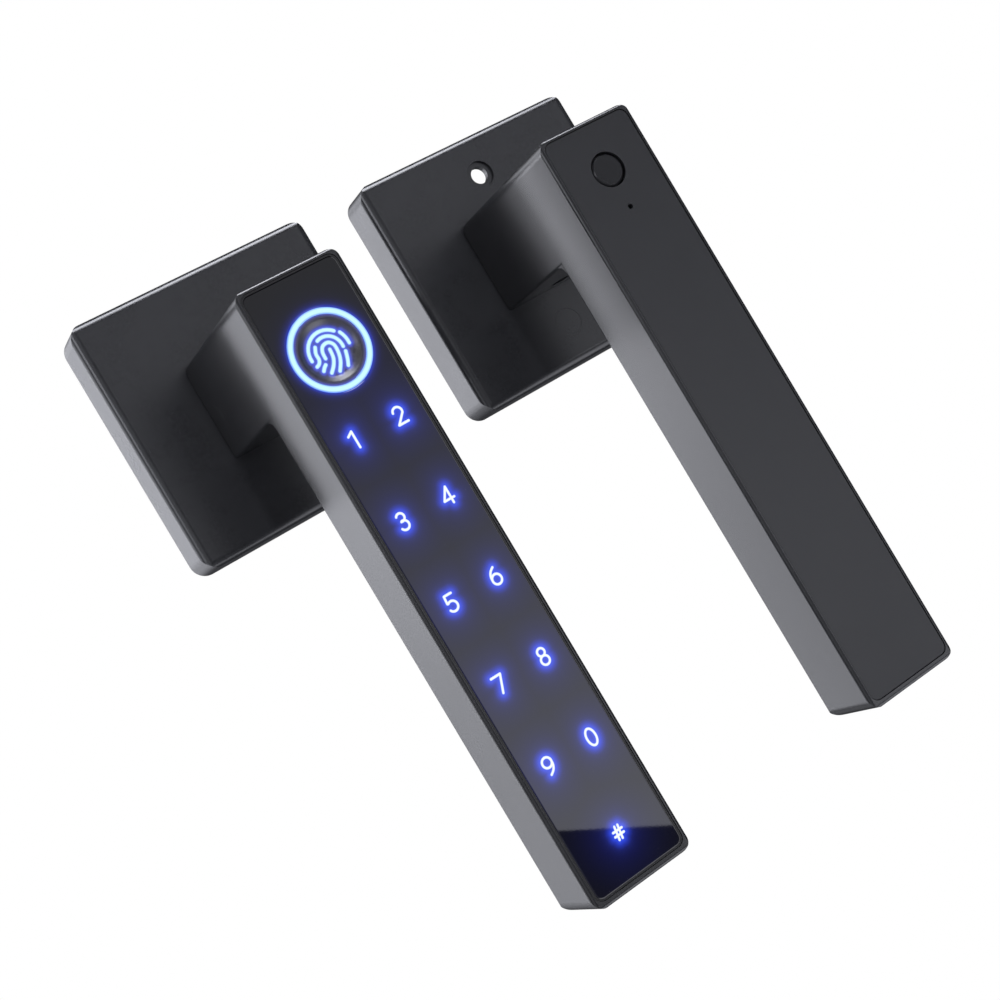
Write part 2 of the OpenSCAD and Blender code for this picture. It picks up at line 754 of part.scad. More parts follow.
module battery_contacts() color("#d0d2d5") in_bays_of_inner() {
    spring_len = bay_len - 2 * contact_t - nub[1] - battery_len;
    turns = 3;
    steps = turns * 12;
    for (z = [-contact_t, -bay_len]) translate([-contact_w / 2, -contact_w / 2, z])
        cube([contact_w, contact_w, contact_t]);
    translate([0, 0, -bay_len + contact_t + 0.3]) wire([for (i = [0:steps])
        [3.2 - 1.2 * i / steps, 360 * turns * i / steps, (spring_len - 0.7) * i / steps]], 0.25, 6);
}

module housing_magnets() color("#c0c2c6") inner_half()
    at_magnets() disc(magnet_r, rib_top - magnet_t, rib_top);

module cover_magnets() color("#c0c2c6") inner_half()
    at_magnets() disc(magnet_r, lid_bottom - magnet_t, lid_bottom);

module battery_cover() color("#303136") inner_half() {
    p = pocket;
    g = lid_gap;
    difference() {
        union() {
            slab(p[0] + g, p[1] - g, p[2] - g, lid_bottom, lid_top, p[3] - g);
            for (y = [-cell_y, 0, cell_y]) translate([tray[0] + 6, y - 0.5, lid_bottom - 1.6])
                cube([tray[1] - tray[0] - 12, 1, 1.6 + eps]);
        }
        disc(button_r + 0.35, lid_bottom - 1, lid_top + 1);
        translate([pinhole_x, 0, 0]) disc(0.65, lid_bottom - 1, lid_top + 1);
    }
}

outer_rose_cover();
outer_gasket();
outer_mounting_plate();
outer_bearing_bush();
outer_bolt_posts();
outer_cover_screws();
outer_lever_housing();
outer_thrust_washer();
outer_circlip();
outer_cam_disc();
outer_return_spring();
outer_spindle();
spindle_pin();
clutch_hub();
clutch_guide();
clutch_motor();
clutch_pin();
outer_wire_grommet();
panel_bezel();
keypad_panel();
fingerprint_ring();
fingerprint_sensor();
light_mask();
key_light_guides();
keypad_board();
board_chips();
board_screws();
inner_rose_cover();
bolt_hole_cap();
inner_gasket();
inner_mounting_plate();
inner_bearing_bush();
inner_cover_screws();
inner_lever_housing();
inner_thrust_washer();
inner_circlip();
inner_cam_disc();
inner_return_spring();
inner_spindle();
inner_grub_screw();
inner_wire_grommet();
switch_board();
push_switch();
reset_switch();
switch_board_screws();
button_guide();
button_spring();
push_button();
battery_tray();
batteries();
battery_contacts();
housing_magnets();
cover_magnets();
battery_cover();
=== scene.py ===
"""Finishes, lit legends, glass, light and camera for the keypad lever lock's CAD frame."""

import json
import math

import bpy
import numpy as np
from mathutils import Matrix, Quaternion, Vector


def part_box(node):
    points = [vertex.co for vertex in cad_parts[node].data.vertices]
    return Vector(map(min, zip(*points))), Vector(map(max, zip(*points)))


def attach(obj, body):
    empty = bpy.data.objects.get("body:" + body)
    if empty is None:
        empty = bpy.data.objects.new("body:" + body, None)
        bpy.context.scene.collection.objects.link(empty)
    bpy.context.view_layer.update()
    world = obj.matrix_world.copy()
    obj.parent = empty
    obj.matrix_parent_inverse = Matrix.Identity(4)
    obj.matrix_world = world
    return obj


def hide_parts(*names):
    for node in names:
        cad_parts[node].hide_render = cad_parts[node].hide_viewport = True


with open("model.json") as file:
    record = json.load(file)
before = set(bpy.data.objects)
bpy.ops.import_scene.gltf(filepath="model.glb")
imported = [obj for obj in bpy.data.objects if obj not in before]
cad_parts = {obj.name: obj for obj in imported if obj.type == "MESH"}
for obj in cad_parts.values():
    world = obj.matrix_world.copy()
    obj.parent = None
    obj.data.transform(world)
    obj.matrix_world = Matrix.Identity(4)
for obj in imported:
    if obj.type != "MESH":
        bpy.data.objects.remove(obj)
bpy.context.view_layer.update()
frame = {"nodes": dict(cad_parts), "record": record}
nodes = frame["nodes"]
scene = bpy.context.scene
MM = 0.001
NOISE_ROUGH = 0.55
CLOUD_MM = 9  # size of the slow mottling on every solid finish
FINE_SHARE = 0.45  # how much of a finish's mottling is its fine grain
COAT_ROUGH = 0.15


# ---------------------------------------------------------------- node helpers


class Num:
    """A number worked out by a node tree, so that shading sums read as sums."""

    def __init__(self, tree, value):
        self.tree, self.value = tree, value

    def _math(self, kind, *others):
        node = self.tree.nodes.new("ShaderNodeMath")
        node.operation = kind
        for socket, item in zip(node.inputs, (self,) + others):
            item = item.value if isinstance(item, Num) else item
            if isinstance(item, bpy.types.NodeSocket):
                self.tree.links.new(item, socket)
            else:
                socket.default_value = item
        return Num(self.tree, node.outputs[0])

    def __add__(self, other):
        return self._math("ADD", other)

    def __sub__(self, other):
        return self._math("SUBTRACT", other)

    def __mul__(self, other):
        return self._math("MULTIPLY", other)

    def __truediv__(self, other):
        return self._math("DIVIDE", other)

    def higher_of(self, other):
        return self._math("MAXIMUM", other)

    def root(self):
        return self._math("SQRT")

    def step(self, start, end):
        """0 at start, 1 at end, smooth between."""
        node = self.tree.nodes.new("ShaderNodeMapRange")
        node.interpolation_type = "SMOOTHSTEP"
        self.tree.links.new(self.value, node.inputs["Value"])
        node.inputs["From Min"].default_value = start
        node.inputs["From Max"].default_value = end
        return Num(self.tree, node.outputs["Result"])

    def between(self, low, high):
        """low where this number is 0, high where it is 1."""
        node = self.tree.nodes.new("ShaderNodeMapRange")
        node.clamp = False
        self.tree.links.new(self.value, node.inputs["Value"])
        node.inputs["To Min"].default_value = low
        node.inputs["To Max"].default_value = high
        return Num(self.tree, node.outputs["Result"])


def separated(tree, socket):
    """The x, y and z of a vector socket."""
    node = tree.nodes.new("ShaderNodeSeparateXYZ")
    tree.links.new(socket, node.inputs[0])
    return [Num(tree, out) for out in node.outputs]


def ramp(tree, number, stops):
    """Colour from a number: stops are (place, (r, g, b))."""
    node = tree.nodes.new("ShaderNodeValToRGB")
    elements = node.color_ramp.elements
    while len(elements) < len(stops):
        elements.new(1.0)
    for element, (place, colour) in zip(elements, stops):
        element.position = place
        element.color = (*colour, 1)
    tree.links.new(number.value, node.inputs[0])
    return node.outputs[0]


def noise(tree, where, scale, detail=3.0):
    """Soft noise with this many features to a metre."""
    node = tree.nodes.new("ShaderNodeTexNoise")
    node.inputs["Scale"].default_value = scale
    node.inputs["Detail"].default_value = detail
    node.inputs["Roughness"].default_value = NOISE_ROUGH
    tree.links.new(where, node.inputs["Vector"])
    return Num(tree, node.outputs[0])


def attribute(tree, name):
    """A number stored on the mesh's points."""
    node = tree.nodes.new("ShaderNodeAttribute")
    node.attribute_name = name
    return Num(tree, node.outputs["Fac"])


def stretched(tree, where, x, y, z):
    node = tree.nodes.new("ShaderNodeMapping")
    node.inputs["Scale"].default_value = (x, y, z)
    tree.links.new(where, node.inputs["Vector"])
    return node.outputs[0]


def blank_material(name):
    """A new material, with its node tree, its shader and its object coordinates."""
    material = bpy.data.materials.new(name)
    material.use_nodes = True
    tree = material.node_tree
    shader = next(n for n in tree.nodes if n.type == "BSDF_PRINCIPLED")
    coords = tree.nodes.new("ShaderNodeTexCoord").outputs["Object"]
    return material, tree, shader, coords


def set_bump(tree, shader, height, depth):
    node = tree.nodes.new("ShaderNodeBump")
    node.inputs["Strength"].default_value = 1.0
    node.inputs["Distance"].default_value = depth
    tree.links.new(height.value, node.inputs["Height"])
    tree.links.new(node.outputs[0], shader.inputs["Normal"])


def finish_material(
    name,
    colour,
    rough,
    metal=0.0,
    grain=0.15,
    depth=0.004,
    spread=0.15,
    rough_spread=0.06,
    stretch=(1, 1, 1),
    specular=0.5,
    coat=0.0,
):
    """A solid finish. grain is the size of its texture and depth its height, in mm."""
    material, tree, shader, coords = blank_material(name)
    place = stretched(tree, coords, *stretch)
    fine = noise(tree, place, 1 / (grain * MM), 2.0)
    cloud = noise(tree, coords, 1 / (CLOUD_MM * MM), 4.0)
    mixed = (fine * FINE_SHARE + cloud * (1 - FINE_SHARE)).step(0.25, 0.75)
    tint = ramp(
        tree,
        mixed,
        [
            (0.0, [c * (1 - spread) for c in colour]),
            (1.0, [min(1, c * (1 + spread)) for c in colour]),
        ],
    )
    tree.links.new(tint, shader.inputs["Base Color"])
    roughness = mixed.between(rough - rough_spread, rough + rough_spread)
    tree.links.new(roughness.value, shader.inputs["Roughness"])
    shader.inputs["Metallic"].default_value = metal
    shader.inputs["Specular IOR Level"].default_value = specular
    shader.inputs["Coat Weight"].default_value = coat
    shader.inputs["Coat Roughness"].default_value = COAT_ROUGH
    set_bump(tree, shader, fine, depth * MM)
    return material


# ---------------------------------------------------------------- materials

BRUSH = (0.06, 1, 1)  # noise stretched along x, as brushing leaves it
PAINT = {"grain": 0.10, "depth": 0.0004, "rough_spread": 0.015, "specular": 0.6}
materials = {
    "satin_black": finish_material(
        "satin_black_paint",
        (0.0175, 0.0179, 0.0206),
        0.28,
        **PAINT,
    ),
    "bezel_black": finish_material("bezel_black_plastic", (0.009, 0.009, 0.010), 0.35),
    "cover_charcoal": finish_material(
        "cover_charcoal_paint",
        (0.0115, 0.0118, 0.0138),
        0.34,
        grain=0.12,
        depth=0.0008,
        rough_spread=0.02,
        specular=0.55,
    ),
    "plated_steel": finish_material(
        "zinc_plated_steel",
        (0.62, 0.61, 0.57),
        0.34,
        metal=1.0,
        grain=0.6,
        depth=0.003,
        stretch=BRUSH,
    ),
    "dark_steel": finish_material(
        "blackened_steel", (0.10, 0.10, 0.105), 0.38, metal=1.0, grain=0.3
    ),
    "spring_steel": finish_material(
        "spring_wire", (0.42, 0.42, 0.43), 0.25, metal=1.0, grain=0.08, depth=0.002
    ),
    "cast_zinc": finish_material(
        "cast_zinc_alloy", (0.48, 0.48, 0.49), 0.48, metal=1.0, grain=0.25, depth=0.012
    ),
    "bronze": finish_material(
        "sintered_bronze", (0.50, 0.33, 0.17), 0.42, metal=1.0, grain=0.12, depth=0.008
    ),
    "rubber_black": finish_material(
        "rubber_gasket", (0.022, 0.022, 0.023), 0.78, grain=0.2, depth=0.01
    ),
    "board_green": finish_material(
        "board_green_mask", (0.012, 0.085, 0.035), 0.32, grain=0.5, depth=0.006
    ),
    "chip_black": finish_material(
        "chip_moulding", (0.018, 0.018, 0.019), 0.6, grain=0.08, depth=0.006
    ),
    "moulding_black": finish_material(
        "black_moulding", (0.022, 0.022, 0.024), 0.5, grain=0.25, depth=0.008
    ),
    "moulding_natural": finish_material(
        "natural_moulding", (0.70, 0.68, 0.62), 0.45, grain=0.3, depth=0.006
    ),
    "motor_can": finish_material(
        "motor_can_steel",
        (0.66, 0.66, 0.68),
        0.28,
        metal=1.0,
        grain=0.5,
        depth=0.002,
        stretch=BRUSH,
    ),
    "cell_wrap": finish_material(
        "cell_wrap_film", (0.03, 0.10, 0.22), 0.22, grain=1.2, depth=0.004, coat=0.5
    ),
    "contact_nickel": finish_material(
        "contact_nickel", (0.66, 0.62, 0.55), 0.24, metal=1.0, grain=0.2, depth=0.002
    ),
    "light_guide": finish_material(
        "light_guide_acrylic", (0.55, 0.66, 0.85), 0.2, grain=0.8, depth=0.003
    ),
}


SMUDGE_MM = 14
SPECK_MM = 0.5
SPECK_DEEP = 0.00015
# emission grey of the highlight painted along the glass panel's chamfer
PAINTED_HIGHLIGHT_GREY = (0.15, 0.15, 0.16, 1)


def glowing_glass(name, body, rough, stops, specular):
    """Gloss black, with painted glow where the "glow" attribute says, and a painted grey
    highlight along its "rim".
    """
    material, tree, shader, coords = blank_material(name)
    smudge = noise(tree, coords, 1 / (SMUDGE_MM * MM), 4.0).step(0.35, 0.75)
    speck = noise(tree, coords, 1 / (SPECK_MM * MM), 2.0)
    tint = ramp(tree, smudge, [(0.0, body), (1.0, [c * 1.25 for c in body])])
    tree.links.new(tint, shader.inputs["Base Color"])
    roughness = smudge.between(rough, rough * 1.8)
    tree.links.new(roughness.value, shader.inputs["Roughness"])
    set_bump(tree, shader, speck, SPECK_DEEP * MM)
    # painted glow: the "glow" attribute sets how much light the surface gives off
    light = ramp(tree, attribute(tree, "glow"), stops)
    # painted highlight: the "rim" attribute mixes grey light into the emission along the chamfer
    edge = tree.nodes.new("ShaderNodeMix")
    edge.data_type = "RGBA"
    edge.inputs["B"].default_value = PAINTED_HIGHLIGHT_GREY
    tree.links.new(attribute(tree, "rim").value, edge.inputs["Factor"])
    tree.links.new(light, edge.inputs["A"])
    tree.links.new(edge.outputs["Result"], shader.inputs["Emission Color"])
    shader.inputs["Emission Strength"].default_value = 1.0
    shader.inputs["Specular IOR Level"].default_value = specular
    return material


# painted glow: emission colours for the halos painted into the glass round the lit marks
PAINTED_GLASS_GLOW = [
    (0.0, (0.0, 0.0, 0.0)),
    (0.10, (0.002, 0.003, 0.050)),
    (0.30, (0.006, 0.010, 0.125)),
    (0.60, (0.014, 0.030, 0.400)),
    (1.0, (0.030, 0.075, 0.850)),
]
# painted glow: emission colours for the light painted on the fingerprint lens
PAINTED_SENSOR_GLOW = [
    (0.0, (0.0, 0.0, 0.0)),
    (0.35, (0.008, 0.010, 0.080)),
    (0.75, (0.030, 0.045, 0.420)),
    (1.0, (0.040, 0.080, 0.700)),
]
glass = glowing_glass("smoked_glass", (0.0032, 0.0032, 0.0038), 0.012, PAINTED_GLASS_GLOW, 0.5)
sensor = glowing_glass("sensor_lens", (0.016, 0.015, 0.017), 0.30, PAINTED_SENSOR_GLOW, 1.0)
materials["black_glass"] = glass
materials["sensor_black"] = sensor


LENS_BODY = [(0.0, (0.02, 0.02, 0.03)), (1.0, (0.03, 0.03, 0.04))]


def light_up(tree, shader, light, mottle, rough):
    """A dark lens that shines with its own colour, so that the studio can't wash it out."""
    tree.links.new(light, shader.inputs["Emission Color"])
    shader.inputs["Emission Strength"].default_value = 1.0
    tree.links.new(ramp(tree, mottle, LENS_BODY), shader.inputs["Base Color"])
    shader.inputs["Roughness"].default_value = rough


def lit_material(name, core, edge):
    """A lit legend: brightest along its middle, as the "core" attribute says."""
    material, tree, shader, coords = blank_material(name)
    mottle = noise(tree, coords, 1 / (0.4 * MM), 2.0)
    along = (attribute(tree, "core") + mottle * 0.12 - 0.06).step(0.0, 1.0)
    light_up(tree, shader, ramp(tree, along, [(0.0, edge), (0.4, core)]), mottle, 0.3)
    return material


def ring_material(mid_x, mid_z, inner_r, outer_r):
    """The lit ring: cyan-white along its middle, bluer at both edges. Sizes are in mm."""
    material, tree, shader, coords = blank_material("lit_ring")
    x, _, z = separated(tree, coords)
    x, z = x - mid_x * MM, z - mid_z * MM
    mottle = noise(tree, coords, 1 / (2.5 * MM), 2.0)
    place = ((x * x + z * z).root() - inner_r * MM) / ((outer_r - inner_r) * MM)
    outer_blue, inner_blue, cyan = (0.05, 0.10, 0.75), (0.26, 0.50, 1.0), (0.58, 0.94, 1.0)
    stops = [(0.0, outer_blue), (0.14, inner_blue), (0.32, cyan)]
    stops += [(0.72, cyan), (0.88, inner_blue), (1.0, outer_blue)]
    light = ramp(tree, place + mottle * 0.06 - 0.03, stops)
    light_up(tree, shader, light, mottle, 0.25)
    return material


legend = lit_material("lit_legend", (0.92, 0.98, 1.0), (0.38, 0.52, 1.0))
finger_light = lit_material("lit_finger_mark", (0.60, 0.94, 1.0), (0.26, 0.46, 1.0))

# ---------------------------------------------------------------- flat-shape modelling


def row_point(x, z, out):
    """A point from mm along the lever, mm across it and mm out from the door face."""
    return (x * MM, -out * MM, z * MM)


def mesh_object(name, points, faces, material, layers, sharp_deg):
    """An object from points in mm. layers holds point attributes, such as the glow."""
    mesh = bpy.data.meshes.new(name)
    mesh.from_pydata([row_point(*p) for p in points], [], faces)
    mesh.validate()
    for layer, values in layers.items():
        data = mesh.attributes.new(layer, "FLOAT", "POINT")
        data.data.foreach_set("value", np.asarray(values, np.float32))
    mesh.materials.append(material)
    mesh.polygons.foreach_set("use_smooth", [True] * len(mesh.polygons))
    mesh.set_sharp_from_angle(angle=math.radians(sharp_deg))
    made = bpy.data.objects.new(name, mesh)
    scene.collection.objects.link(made)
    return made


def outline_cells(inside, xs, zs):
    """Splits the region where inside(x, z) < 0 into cells: points, faces and directed edges."""
    grid_x, grid_z = np.meshgrid(xs, zs, indexing="ij")
    value = inside(grid_x, grid_z)
    value = np.where(np.abs(value) < 1e-6, 1e-6, value)
    within = value < 0
    points, index, faces, rim = [], {}, [], []

    def corner(i, j):
        if (i, j) not in index:
            index[i, j] = len(points)
            points.append((xs[i], zs[j]))
        return index[i, j]

    def crossing(a, b):
        key = (min(a, b), max(a, b))
        if key not in index:
            (i, j), (m, n) = key
            t = value[i, j] / (value[i, j] - value[m, n])
            index[key] = len(points)
            points.append((xs[i] + t * (xs[m] - xs[i]), zs[j] + t * (zs[n] - zs[j])))
        return index[key]

    touched = within[:-1, :-1] | within[1:, :-1] | within[:-1, 1:] | within[1:, 1:]
    for i, j in zip(*np.nonzero(touched)):
        ring = [(i, j), (i + 1, j), (i + 1, j + 1), (i, j + 1)]
        face, cuts = [], []
        for a, b in zip(ring, ring[1:] + ring[:1]):
            if within[a]:
                face.append(corner(*a))
            if within[a] != within[b]:
                face.append(crossing(a, b))
                cuts.append((len(face) - 1, bool(within[a])))
        faces.append(face)
        for place, leaving in cuts:
            if leaving:
                rim.append((face[place], face[(place + 1) % len(face)]))
    return np.array(points), faces, rim


PLATE_SHARP_DEG = 27
EDGE_DROP = 0.7  # depth of a broken edge, as a share of its width


def plate(name, inside, box, step, top, thickness, edge, material, layers):
    """A closed plate with the outline inside(x, z) = 0, its upper edge broken by edge mm.

    top is the height of its upper face, or a rule that gives it at x, z, and each of layers is
    a rule that gives a point attribute at x, z.
    """
    xs = np.linspace(box[0], box[1], max(2, round((box[1] - box[0]) / step) + 1))
    zs = np.linspace(box[2], box[3], max(2, round((box[3] - box[2]) / step) + 1))
    flat, faces, rim = outline_cells(lambda x, z: inside(x, z) + edge, xs, zs)
    x, z = flat[:, 0], flat[:, 1]
    small = 1e-3
    across = np.stack(
        [
            inside(x + small, z) - inside(x - small, z),
            inside(x, z + small) - inside(x, z - small),
        ],
        1,
    )
    across /= np.maximum(np.linalg.norm(across, axis=1, keepdims=True), 1e-9)
    wide = flat + across * edge
    count = len(flat)
    upper = top(x, z) if callable(top) else np.full(count, top)
    levels = [
        np.column_stack([flat, upper]),
        np.column_stack([wide, upper - edge * EDGE_DROP]),
        np.column_stack([wide, upper - thickness]),
        np.column_stack([flat, upper - thickness]),
    ]
    every = [list(f) for f in faces]
    for level in range(3):
        a, b = level * count, (level + 1) * count
        every += [[q + a, p + a, p + b, q + b] for p, q in rim]
    every += [[v + 3 * count for v in reversed(f)] for f in faces]
    points = np.concatenate(levels)
    used = sorted({v for f in every for v in f})
    renumber = {old: new for new, old in enumerate(used)}
    every = [[renumber[v] for v in f] for f in every]
    points = points[used]
    values = {key: rule(points[:, 0], points[:, 1]) for key, rule in layers.items()}
    return mesh_object(
        name, points.tolist(), every, material, values, PLATE_SHARP_DEG
    )


def line_distance(x, z, strokes):
    """Distance in mm from each point to the nearest of some strokes, each a list of points."""
    nearest = np.full(np.shape(x), 1e3)
    for stroke in strokes:
        for (ax, az), (bx, bz) in zip(stroke[:-1], stroke[1:]):
            dx, dz = bx - ax, bz - az
            long2 = max(dx * dx + dz * dz, 1e-12)
            t = np.clip(((x - ax) * dx + (z - az) * dz) / long2, 0, 1)
            nearest = np.minimum(nearest, np.hypot(x - ax - t * dx, z - az - t * dz))
    return nearest


# ---------------------------------------------------------------- legends

# A glyph is drawn with the pen's middle line, 3.8 mm tall: u to the right and v up, in mm.


def arc(u, v, radius, start, end, tall=1.0):
    turns = np.radians(np.linspace(start, end, max(4, int(abs(end - start) / 9)) + 1))
    return [(u + radius * math.cos(t), v + radius * tall * math.sin(t)) for t in turns]


def smooth(stops, per=8):
    """A curve through its stops, with no corners."""
    pts = [stops[0]] + list(stops) + [stops[-1]]
    line = []
    for a, b, c, d in zip(pts, pts[1:], pts[2:], pts[3:]):
        for k in range(per):
            t = k / per
            line.append(
                tuple(
                    0.5
                    * (
                        2 * q
                        + (r - p) * t
                        + (2 * p - 5 * q + 4 * r - s) * t * t
                        + (3 * q - p - 3 * r + s) * t**3
                    )
                    for p, q, r, s in zip(a, b, c, d)
                )
            )
    return line + [stops[-1]]


SIX = [
    arc(0, -0.75, 1.12, 0, 360, 1.02),
    smooth([(-1.12, -0.75), (-0.98, 0.35), (-0.45, 1.25), (0.45, 1.9)]),
]
GLYPHS = {
    "1": [[(-0.85, 1.12), (0.35, 1.9), (0.35, -1.9)]],
    "2": [arc(0, 0.8, 1.1, 172, -28) + [(-1.2, -1.9), (1.25, -1.9)]],
    "3": [
        arc(-0.05, 0.97, 0.93, 150, -90) + [(-0.35, 0.04)],
        arc(-0.05, -0.86, 1.04, 100, -152),
    ],
    "4": [[(0.55, -1.9), (0.55, 1.9), (-1.25, -0.85), (1.3, -0.85)]],
    "5": [
        [(1.0, 1.9), (-0.8, 1.9), (-0.95, 0.2)] + arc(-0.05, -0.75, 1.14, 128, -150)
    ],
    "6": SIX,
    "7": [[(-1.2, 1.9), (1.2, 1.9), (-0.35, -1.9)]],
    "8": [arc(0, 1.02, 0.88, 0, 360), arc(0, -0.88, 1.02, 0, 360)],
    "9": [[(-u, -v) for u, v in stroke] for stroke in SIX],
    "0": [arc(0, 0, 1.12, 0, 360, 1.7)],
    "hash": [
        [(-0.2, 1.45), (-0.65, -1.45)],
        [(0.65, 1.45), (0.2, -1.45)],
        [(-1.15, 0.5), (1.2, 0.5)],
        [(-1.2, -0.5), (1.15, -0.5)],
    ],
}
PEN = 0.30  # half the width of a digit's line
FINGER_PEN = 0.46  # half the width of a fingerprint ridge
RAISED = 0.05  # how far a lit mark stands over the surface it is on
MARK_THICK = 0.10
MARK_EDGE = 0.03
FINGER_MARK = [
    arc(0.05, 0.0, 4.62, 46, 184),
    arc(0.0, 0.0, 4.95, 30, -5),
    smooth([(3.25, -1.65), (2.75, -3.2), (2.1, -4.6)]),
    arc(0.05, -0.05, 3.3, 112, -8),
    smooth([(-2.35, 2.0), (-2.95, 0.7), (-3.0, -0.7), (-3.5, -1.5), (-4.2, -1.85)]),
    smooth(
        [(-1.6, -1.1), (-1.45, 0.4), (-0.7, 1.5), (0.75, 1.7), (1.7, 0.65)]
        + [(1.65, -1.25), (1.05, -3.05), (-0.2, -4.85)]
    ),
    smooth([(-2.3, -2.3), (-2.9, -2.75), (-3.4, -3.3)]),
    smooth([(0.3, 0.2), (0.05, -1.65), (-0.8, -3.15), (-2.05, -4.4)]),
]


def lit_mark(name, strokes, pen, box, step, top, material):
    """Strokes drawn with a round pen, as a thin lit plate on the outer lever."""
    made = plate(
        name,
        lambda a, b: line_distance(a, b, strokes) - pen,
        box,
        step,
        top,
        MARK_THICK,
        MARK_EDGE,
        material,
        {"core": lambda a, b: 1 - line_distance(a, b, strokes) / pen},
    )
    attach(made, "outer_lever")


def placed(strokes, x, z):
    """Strokes at a place on the panel: their up is towards the lever's head."""
    return [[(x - v, z + u) for u, v in stroke] for stroke in strokes]


def widened(box, margin):
    """The x and z ranges of a box, with a margin all round."""
    return (box[0] - margin, box[1] + margin, box[2] - margin, box[3] + margin)


def box_mm(node):
    """A CAD node's box in mm: x range, z range and how far out it is."""
    lo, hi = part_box(node)
    return [v / MM for v in (lo.x, hi.x, lo.z, hi.z, -hi.y, -lo.y)]


guides = box_mm("key_light_guides")
ring_box = box_mm("fingerprint_ring")
ring_x, ring_z = (ring_box[0] + ring_box[1]) / 2, (ring_box[2] + ring_box[3]) / 2
ring_r = (ring_box[1] - ring_box[0]) / 2
glass_box = box_mm("keypad_panel")
glass_top = glass_box[5]
sensor_box = box_mm("fingerprint_sensor")
sensor_r = (sensor_box[1] - sensor_box[0]) / 2

GUIDE_LONG = 6.8  # of one light guide, along the lever
ROWS = 6
KEY_Z = 5.85  # from the panel's middle line to each column of digits
KEY_ROOM = (2.6, 2.2)  # half the room for one digit, along the lever and across it
KEY_STEP = 0.08  # size of the cells that a digit is cut into
first_x = guides[0] + GUIDE_LONG / 2
row_pitch = (guides[1] - GUIDE_LONG / 2 - first_x) / (ROWS - 1)
key_places = {
    key: (first_x + row_pitch * (i // 2), KEY_Z if i % 2 else -KEY_Z)
    for i, key in enumerate("1234567890")
}
key_places["hash"] = (first_x + row_pitch * (ROWS - 1), 0.0)
key_strokes = {
    key: placed(GLYPHS[key], x, z) for key, (x, z) in key_places.items()
}
finger_strokes = placed(FINGER_MARK, ring_x, ring_z)

for key, strokes in key_strokes.items():
    x, z = key_places[key]
    along, across = KEY_ROOM
    room = (x - along, x + along, z - across, z + across)
    lit_mark("legend_" + key, strokes, PEN, room, KEY_STEP, glass_top + RAISED, legend)

# ---------------------------------------------------------------- smoked glass panel

GLASS_ROUND = 1.65
GLASS_EDGE = 0.22
GLASS_STEP = 0.4
GLASS_MARGIN = 0.3
RING_GAP = 0.05
PAINTED_HIGHLIGHT_STRIP = 0.6  # width of the strip along the tip and the far edge where a grey highlight is painted
half_x, half_z = (glass_box[1] - glass_box[0]) / 2, (glass_box[3] - glass_box[2]) / 2
mid_x, mid_z = (glass_box[0] + glass_box[1]) / 2, (glass_box[2] + glass_box[3]) / 2


def glass_outline(x, z):
    qx = np.abs(x - mid_x) - half_x + GLASS_ROUND
    qz = np.abs(z - mid_z) - half_z + GLASS_ROUND
    slab = np.hypot(np.maximum(qx, 0), np.maximum(qz, 0)) + np.minimum(
        np.maximum(qx, qz), 0
    )
    hole = ring_r + RING_GAP - np.hypot(x - ring_x, z - ring_z)
    return np.maximum(slab - GLASS_ROUND, hole)


def halo(off, reach, fall=1.0):
    """1 beside a light, less with the distance off, and 1/e of it at reach."""
    return np.exp(-((off / reach) ** fall))


def painted_glass_halo(x, z):
    """Painted glow: a tight and a wide halo of light round the digits, and the same round the
    ring.
    """
    strokes = [s for group in key_strokes.values() for s in group]
    off = np.maximum(line_distance(x, z, strokes) - PEN, 0)
    ring_off = np.maximum(np.hypot(x - ring_x, z - ring_z) - ring_r, 0)
    digits = 0.74 * halo(off, 1.35, 1.5) + 0.22 * halo(off, 4.2)
    ring = 0.62 * halo(ring_off, 0.80, 1.4) + 0.05 * halo(ring_off, 2.5)
    return np.clip(digits + ring, 0, 1)


def painted_glass_highlight(x, z):
    """Painted highlight: grey light painted on the chamfer along the tip and the far long edge.
    """
    along = (z > glass_box[3] - PAINTED_HIGHLIGHT_STRIP) | (x > glass_box[1] - PAINTED_HIGHLIGHT_STRIP)
    return np.clip(1 + glass_outline(x, z) / GLASS_EDGE, 0, 1) * along


panel = plate(
    "smoked_glass_panel",
    glass_outline,
    widened(glass_box, GLASS_MARGIN),
    GLASS_STEP,
    glass_top,
    glass_top - glass_box[4],
    GLASS_EDGE,
    glass,
    {"glow": painted_glass_halo, "rim": painted_glass_highlight},
)
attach(panel, "outer_lever")
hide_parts("keypad_panel")

# ---------------------------------------------------------------- fingerprint sensor

DISH_FLOOR_R = 5.3
DISH_LIP_R = 7.25
DISH_DEEP = 1.0
FIRST_RING_R = 0.25
DISH_RINGS = 36
LIP_RINGS = 3
AROUND = 160  # points in each ring
BACK_R = 0.4
LENS_SHARP_DEG = 50
RIDGE_MARGIN = 0.6
RIDGE_STEP = 0.10


def dish_out(radius):
    """How far out the sensor's surface is at a radius: flat floor, sloping wall, rounded lip."""
    t = np.clip((radius - DISH_FLOOR_R) / (DISH_LIP_R - DISH_FLOOR_R), 0, 1)
    return glass_top - DISH_DEEP * (1 - t * t * (3 - 2 * t))


